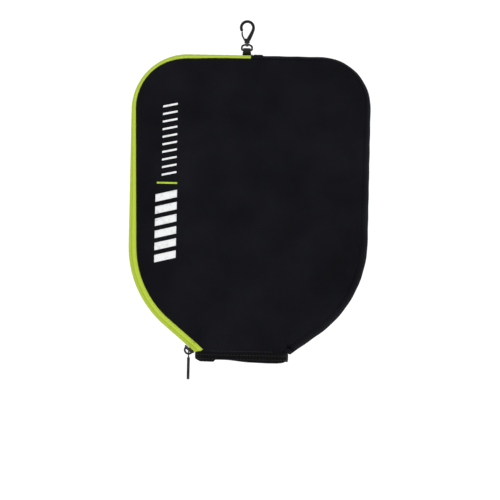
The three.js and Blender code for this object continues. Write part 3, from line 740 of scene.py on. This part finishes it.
def hem(name, low, high, steps, front_only):
    """The hem between two angles: a folded band with a round lower edge, pressed thinner at its top."""
    # Even steps along the band, since the curve's own angle bunches at the ends.
    fine = np.linspace(low, high, 4000)
    run = run_along(np.stack(hem_outline(fine, 0), axis=-1))
    length = np.linspace(0, run[-1], steps)[:, None]
    angle = np.interp(length, run, fine)
    share = np.linspace(0, 1, 15)[None, :]
    edge_x = hem_outline(angle, 0)[0]
    # The band narrows a little towards its ends.
    upper = HEM_TOP + 1.3 * smooth(np.abs(edge_x - NECK_X), 33, 41)
    lower = hem_bottom(edge_x, front_only) + 1.4 * smooth(np.abs(edge_x - HEM_X), 39, HEM_HALF) ** 2
    z = upper + (lower - upper) * share
    round_from, pressed = 0.72, 0.72
    swell = HEM_THICKNESS / 2 * (pressed + (1 - pressed) * smooth(share, 0, 0.2))
    swell = swell * rounded_rim(1 - share, 1 - round_from)
    ripple = 0.12 * np.sin(length * 0.7) * np.sin(np.pi * share)
    x_out, y_out = hem_outline(angle, HEM_THICKNESS / 2 - swell - ripple)
    x_in, y_in = hem_outline(angle, HEM_THICKNESS / 2 + swell)
    outer = world(x_out, y_out, z)
    inner = world(x_in, y_in, z)
    return shell(name, outer, inner, share * ACROSS_BAND, length)


HEM_END = math.radians(1.2)
front_hem = hem("front_hem", HEM_END, math.pi - HEM_END, 150, True)
finish_piece(front_hem, BINDING, None, ["hem_front_fixed", "hem_front_flap"])
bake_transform(front_hem)
rear_hem = hem("rear_hem", math.pi + HEM_END, 2 * math.pi - HEM_END, 150, False)
finish_piece(rear_hem, BINDING, "shell", ["hem_back"])


def hem_lobe(name, node, body):
    """A folded end of the binding: a soft lump, wider than deep, creased down its middle."""
    low, high = (np.array(corner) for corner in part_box(node))
    centre = (low + high) / 2
    centre[0] -= math.copysign(1.5 * MM, centre[0] - world(NECK_X, 0, 0)[0])
    half = (high - low) / 2 * np.array([1.1, 1.25, 0.92])
    rows, columns = 24, 28
    up = np.linspace(-np.pi / 2, np.pi / 2, rows)[1:-1, None]
    around = 2 * np.pi * np.arange(columns)[None, :] / columns
    crease = 1 - 0.12 * np.exp(-((np.sin(around) + 1) / 0.25) ** 2)
    wide = flattened(np.cos(up), 0.7)
    x = centre[0] + half[0] * wide * np.cos(around) * crease
    y = centre[1] + half[1] * wide * np.sin(around) * crease
    z = centre[2] + half[2] * flattened(np.sin(up), 0.8) + 0 * around
    points = np.stack([x, y, z], axis=-1).reshape(-1, 3)
    uv = np.stack(np.broadcast_arrays(around * half[0] / MM, z / MM), axis=-1).reshape(-1, 2)
    lump = new_mesh(name, points, ring_faces(rows - 2, columns), uv)
    return finish_piece(lump, BINDING, body, [node])


for name, node, body in (
    ("front_hem_end", "hem_lobe_front", "flap"),
    ("rear_hem_end", "hem_lobe_back", "shell"),
    ("gusset_hem_end", "hem_lobe_gusset", "shell"),
):
    hem_lobe(name, node, body)

# ------------------------------------------------------------------ stitching


THREAD_RADIUS = 0.2


def stitches(name, places, outward, body):
    """A row of lockstitches along a run of places. Each rises from the cloth and dips back in."""
    pitch, shown = 3.0, 0.72  # a stitch's length and the share of it that lies on the cloth
    bow = np.array([-0.35, 0.12, 0.25, 0.12, -0.35]) * MM
    run = run_along(places) / MM
    paths = []
    for start in np.arange(0.5, run[-1] - pitch, pitch):
        s = start + pitch * shown * np.linspace(0, 1, len(bow))
        paths.append(at_lengths(s, run, places) + at_lengths(s, run, outward) * bow[:, None])
    piece = tubes(name, paths, THREAD_RADIUS * MM, sides=6)
    return finish_piece(piece, THREAD, body)


def hem_row(level, low, high):
    """Places round the hem at a level, with the outward direction there."""
    x, y = hem_outline(np.linspace(low, high, 600), 0)
    tangent = np.stack([np.gradient(x), np.gradient(y)], axis=-1)
    tangent /= np.linalg.norm(tangent, axis=1, keepdims=True)
    out = np.stack([-tangent[:, 1], tangent[:, 0], 0 * x], axis=-1)
    away = np.sign(out[:, 0] * (x - NECK_X) + out[:, 1] * y)  # from the middle of the neck
    return world(x, y, level), out * away[:, None]


ROW_END = 0.35  # radians short of the hem's ends
for row, level in (("upper", -138.9), ("lower", -143.0)):
    front_row = hem_row(level, ROW_END, math.pi - ROW_END)
    sewn = stitches(f"front_hem_{row}_stitches", *front_row, None)
    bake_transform(sewn)
    rear_row = hem_row(level, math.pi + ROW_END, 2 * math.pi - ROW_END)
    stitches(f"rear_hem_{row}_stitches", *rear_row, "shell")


def panel_row(sign):
    """Places across a panel, just above the hem, with the outward direction there."""
    level = -135.2
    x = np.linspace(-34, 28, 400)
    depth = panel_depth(x, level, WELL_INSIDE, x)
    return world(x, sign * depth, level), np.broadcast_to([0, sign, 0], (len(x), 3))


cover_row = stitches("front_cover_stitches", *panel_row(-1), None)
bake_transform(cover_row)
stitches("rear_cover_stitches", *panel_row(1), "shell")

# ------------------------------------------------------------------ webbing loop


def webbing_loop():
    """The strap: up from its sewn tail behind the zip tape, round the swivel eye's bar and down again."""
    bar_radius, loop_radius = 0.8, 1.62
    bar_z = (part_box("swivel_eye")[0][2] - CASE_ORIGIN[2]) / MM + bar_radius
    foot = TOP + 1.0
    loop = arc_points((0, bar_z), (loop_radius, loop_radius), -25, 205, 24)
    # Behind and in front of the eye, as (y, z).
    rising = [(9.2, foot), (6.5, foot), (4.2, foot + 0.05), (2.9, foot + 0.7), (2.15, foot + 2.1)]
    falling = [(-0.75, foot + 2.2), (0.25, foot + 1.1), (1.5, foot + 0.35)]
    route = np.concatenate([rising, loop, falling])
    run = run_along(route)
    even = np.linspace(0, run[-1], 70)
    longer = np.pad(at_lengths(even, run, route), ((2, 2), (0, 0)), mode="edge")
    eased = [np.convolve(column, np.ones(5) / 5, mode="valid") for column in longer.T]
    route = np.stack(eased, axis=-1)
    tangent = np.gradient(route, axis=0)
    tangent /= np.linalg.norm(tangent, axis=1, keepdims=True)
    normal = np.stack([tangent[:, 1], -tangent[:, 0]], axis=-1)
    across = np.linspace(-1, 1, 17)[None, :]
    half = 0.52 * (1 - 0.55 * np.abs(across) ** 6)  # half its thickness, less at the selvedges
    hook_x = -CASE_ORIGIN[0] / MM
    wide = 3.7 + 0.5 * (1 - smooth(route[:, 1], foot, bar_z))[:, None]  # spreads where it is sewn down
    x = hook_x + wide * across
    y, z = (route[:, i, None] for i in (0, 1))
    y_out, z_out = (normal[:, i, None] * half for i in (0, 1))
    outer = world(x, y + y_out, z + z_out)
    inner = world(x, y - y_out, z - z_out)
    return shell("webbing_strap", outer, inner, across * 3.75, even[:, None])


strap = finish_piece(webbing_loop(), WEBBING, "shell", ["webbing_loop"])


def bartack():
    """A dense zigzag of thread across the strap's tail."""
    low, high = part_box("webbing_bartack")
    count = 34
    x = np.linspace(low[0], high[0], count)
    y = np.where(np.arange(count) % 2, low[1], high[1])
    z = np.full(count, low[2] - 0.05 * MM)
    return tubes("strap_bartack", [np.stack([x, y, z], axis=-1)], THREAD_RADIUS * MM, sides=6)


tack = finish_piece(bartack(), THREAD, "shell", ["webbing_bartack"])

# ------------------------------------------------------------------ metal


def enamelled(node, width):
    """Rounds a CAD piece's edges as casting and enamel do, and gives it the enamel."""
    piece = frame["nodes"][node]
    rounding = piece.modifiers.new("rounding", "BEVEL")
    rounding.width = width * MM
    rounding.segments = 2
    rounding.limit_method = "ANGLE"
    rounding.angle_limit = math.radians(40)
    rounding.harden_normals = False
    for place in piece.material_slots:
        place.link = "OBJECT"
        place.material = BLACK_METAL


for node, width in (
    ("hook_frame", 0.1),
    ("hook_gate", 0.08),
    ("gate_pin", 0.08),
    ("swivel_eye", 0.1),
    ("swivel_rivet", 0.1),
    ("slider_body", 0.22),
    ("slider_bail", 0.12),
    ("puller", 0.35),
    ("zip_start_stop", 0.15),
    ("zip_end_stop_front", 0.12),
    ("zip_end_stop_back", 0.12),
):
    enamelled(node, width)

# The hook's wire and the slider's bail are drawn round, over the CAD's faceted ones.
FILM = 0.1  # how far they stand outside the CAD's


def upright(points):
    """Points drawn as (x, z) from the hook's inner top, in millimetres, as places in metres."""
    points = np.asarray(points, float)
    return np.stack([points[:, 0], 0 * points[:, 0], points[:, 1]], axis=-1) * MM


def bezier(a, b, c, d, count):
    """Points along the cubic curve with these four control points."""
    t = np.linspace(0, 1, count)[:, None]
    a, b, c, d = (np.asarray(p, float) for p in (a, b, c, d))
    return a * (1 - t) ** 3 + 3 * b * t * (1 - t) ** 2 + 3 * c * t**2 * (1 - t) + d * t**3


def hook_wire():
    """The hook's stock: a leg that thickens towards the neck, the round head, and a ball at its nose."""
    bore, stock, neck, nose = 4.6, 1.3, 1.9, 1.35  # radii
    radius = bore + stock
    low, high = -17, 203  # degrees round the head
    slope = math.radians(low)
    top = np.array([radius * math.cos(slope), -bore + radius * math.sin(slope)])
    under_top = top + 4 * np.array([math.sin(slope), -math.cos(slope)])
    leg = bezier((1.2, -16.4), (2.4, -13.6), under_top, top, 24)
    head = arc_points((0, -bore), (radius, radius), low, high, 60)[1:]
    path = np.concatenate([leg, head])
    step = np.arange(len(path))
    thick = FILM + stock + (neck - stock) * (1 - smooth(step, 0, 30))
    swell = (nose - stock) * smooth(step, len(path) - 7, len(path) - 1)
    wire = tubes("hook_wire", [upright(path)], (thick + swell) * MM, sides=20)
    finish_piece(wire, BLACK_METAL, "hook")

    up = np.linspace(-np.pi / 2, np.pi / 2, 14)[1:-1, None]
    around = np.linspace(0, 2 * np.pi, 20, endpoint=False)[None, :]
    x, y, z = np.cos(up) * np.cos(around), np.cos(up) * np.sin(around), np.sin(up) + 0 * around
    points = upright([head[-1]])[0] + np.stack([x, y, z], axis=-1).reshape(-1, 3) * (nose + FILM) * MM
    ball = new_mesh("hook_ball", points, ring_faces(up.size, around.size))
    finish_piece(ball, BLACK_METAL, "hook")


def gate_wire():
    """The gate: a bowed wire from its pin up to the nose, tapered at its tip."""
    path = bezier((-2.7, -15.7), (-4.5, -13.4), (-5.15, -11.5), (-4.85, -8.3), 24)
    stock, taper = 0.65, 0.3
    thick = stock + FILM - taper * smooth(np.arange(24), 20, 23)
    wire = tubes("gate_wire", [upright(path)], thick * MM, sides=14)
    finish_piece(wire, BLACK_METAL, "gate")


def eye_wire():
    """The D-shaped ring of the swivel eye."""
    half, bar, crown, crown_top, corner, stock = 4.9, -26.25, -23.4, -20.9, 1.0, 0.8
    inner = half - corner
    path = np.concatenate(
        [
            [(x, bar) for x in np.linspace(-inner, inner, 12)],
            arc_points((inner, bar + corner), (corner, corner), -90, 0, 7)[1:],
            arc_points((0, crown), (half, crown_top - crown), 0, 180, 44),
            arc_points((-inner, bar + corner), (corner, corner), 180, 270, 7)[:-1],
        ]
    )
    wire = tubes("eye_wire", [upright(path)], (stock + FILM) * MM, sides=14, closed=True)
    finish_piece(wire, BLACK_METAL, "eye")


hook_wire()
gate_wire()
eye_wire()


def bail_band():
    """The slider's bail: a closed D of flat wire with round edges, on the slider's outer plate."""
    radius, centre_z, sweep = SHOULDER[-1]
    down = math.radians(sweep)
    along = np.array([math.sin(down), -math.cos(down)])
    outward = np.array([-math.cos(down), -math.sin(down)])
    shoulder_end = np.array([radius - HALF_WIDTH, centre_z]) + radius * outward
    above_end, above_outline, reach = 7.4, 2.4, 3.75
    centre = shoulder_end + along * (DIAGONAL[-1] - above_end) + outward * above_outline
    arch = arc_points((0, 0), (reach, reach), 0, 180, 40) @ np.stack([-along, outward])
    foot = np.linspace(-reach, reach, 16)[1:-1, None] * -along
    path = centre + np.concatenate([arch, foot])
    tangent = np.roll(path, -1, axis=0) - np.roll(path, 1, axis=0)
    tangent /= np.linalg.norm(tangent, axis=1, keepdims=True)
    normal = np.stack([tangent[:, 1], -tangent[:, 0]], axis=-1)
    sides, half_thick, half_wide = 16, 0.85, 1.2
    angle = 2 * np.pi * np.arange(sides) / sides
    radial = (half_thick + FILM) * flattened(np.cos(angle), 0.75)
    axial = (half_wide + FILM) * flattened(np.sin(angle), 0.75)
    points = world(path[:, :1] + normal[:, :1] * radial, axial, path[:, 1:] + normal[:, 1:] * radial)
    band = new_mesh("bail_band", points.reshape(-1, 3), loop_faces(len(path), sides))
    finish_piece(band, BLACK_METAL, "slider")


bail_band()

# ------------------------------------------------------------------ printed marks: plain slanted bars


def printed_bars(name, node, count, share, slant, material):
    """Evenly spaced slanted bars inside the CAD plate, lying on the folding half of the front panel."""
    low, high = ((np.array(corner) - CASE_ORIGIN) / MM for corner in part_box(node))
    pitch = (high[2] - low[2] - slant) / count
    u = np.linspace(0, 1, 13)[:, None]
    v = np.linspace(0, 1, 5)[None, :]
    x = low[0] + (high[0] - low[0]) * u
    points, faces = [], []
    for bar in range(count):
        z = low[2] + slant * u + pitch * (bar + (1 - share) / 2 + share * v)
        depth = panel_depth(x, z, WELL_INSIDE, z)
        faces.append(shell_faces(u.size, v.size, first=2 * z.size * bar))
        for lift in (0.14, 0.02):  # the ink's outer face and its underside
            points.append(world(x, -(depth + lift), z).reshape(-1, 3))
    piece = new_mesh(name, np.concatenate(points), np.concatenate(faces))
    return finish_piece(piece, material, "flap", [node])


printed_bars("fine_bars", "print_upper", 10, 0.26, 3.0, WHITE_INK)
printed_bars("lime_bar", "print_divider", 1, 1.0, 0.0, LIME_INK)
printed_bars("bold_bars", "print_lower", 6, 0.62, 5.0, WHITE_INK)

# ------------------------------------------------------------------ studio


def bowl():
    """A seamless pale paper surround: a floor below the case that curves up into a round wall."""
    middle_radius, floor_radius, bend_radius = 0.02, 4.0, 1.2  # metres
    floor_z, top_z = -0.62, 4.5
    wall_radius = floor_radius + bend_radius
    bend = np.linspace(0, np.pi / 2, 12)
    radius = np.concatenate([[middle_radius], floor_radius + bend_radius * np.sin(bend), [wall_radius]])
    height = np.concatenate([[floor_z], floor_z + bend_radius * (1 - np.cos(bend)), [top_z]])
    around = np.linspace(0, 2 * np.pi, 73)[:, None]
    grid = np.stack(np.broadcast_arrays(radius * np.cos(around), radius * np.sin(around), height), axis=-1)
    index = np.arange(around.size * radius.size).reshape(around.size, radius.size)
    faces = [*grid_quads(index).tolist(), index[:-1, 0].tolist()]  # the last one closes the middle
    data = bpy.data.meshes.new("paper_surround")
    data.from_pydata([tuple(p) for p in grid.reshape(-1, 3)], [], faces)
    for polygon in data.polygons:
        polygon.use_smooth = True
    paper = bpy.data.objects.new("paper_surround", data)
    bpy.context.scene.collection.objects.link(paper)
    n = Nodes("pale_paper")
    n.set(Roughness=0.9, Specular_IOR_Level=0.1, Emission_Strength=0.82)
    grain = n.noise(n.coordinates("Object"), 3)
    for socket, low, high in (("Base Color", 0.29, 0.31), ("Emission Color", 0.98, 1.0)):
        n.link(n.ramp(grain, [(0, (low,) * 3), (1, (high,) * 3)]), n.shader.inputs[socket])
    data.materials.append(n.material)


def area_light(name, place, target, size, power):
    """A rectangular lamp that faces its target. Places are in metres and power in watts."""
    data = bpy.data.lights.new(name, "AREA")
    data.shape = "RECTANGLE"
    data.size, data.size_y = size
    data.energy = power
    light = bpy.data.objects.new(name, data)
    light.location = place
    light.rotation_euler = (Vector(target) - Vector(place)).to_track_quat("-Z", "Y").to_euler()
    bpy.context.scene.collection.objects.link(light)


def studio():
    """Even, soft light from all round, as in a shop photograph."""
    bowl()
    middle = (0.005, 0, -0.18)
    area_light("key", (-1.1, -1.6, 0.9), middle, (1.2, 1.2), 5)
    area_light("fill", (1.4, -1.5, 0.2), middle, (1.4, 1.4), 2)
    area_light("top", (0.0, 0.1, 1.5), middle, (1.6, 1.0), 9)
    area_light("rear", (0.9, 1.7, 0.6), middle, (1.2, 1.2), 4)
    sky = bpy.data.worlds.new("studio")
    sky.use_nodes = True
    sky.node_tree.nodes["Background"].inputs["Color"].default_value = (1, 1, 1, 1)
    sky.node_tree.nodes["Background"].inputs["Strength"].default_value = 0.3
    bpy.context.scene.world = sky
    bpy.context.scene.view_settings.view_transform = "Standard"


def camera():
    """A long lens square to the front, with the photograph's framing and its slight roll."""
    distance, width, roll = 2.5, 0.48, -1.24  # metres, metres across the picture, degrees
    data = bpy.data.cameras.new("camera")
    data.sensor_width = 36
    data.lens = data.sensor_width * distance / width
    view = bpy.data.objects.new("camera", data)
    view.location = Vector(world(1.9, 0, -38.4)) + Vector((0, -distance, 0))
    view.rotation_euler = (math.radians(90), math.radians(roll), 0)
    bpy.context.scene.collection.objects.link(view)
    bpy.context.scene.camera = view


studio()
camera()
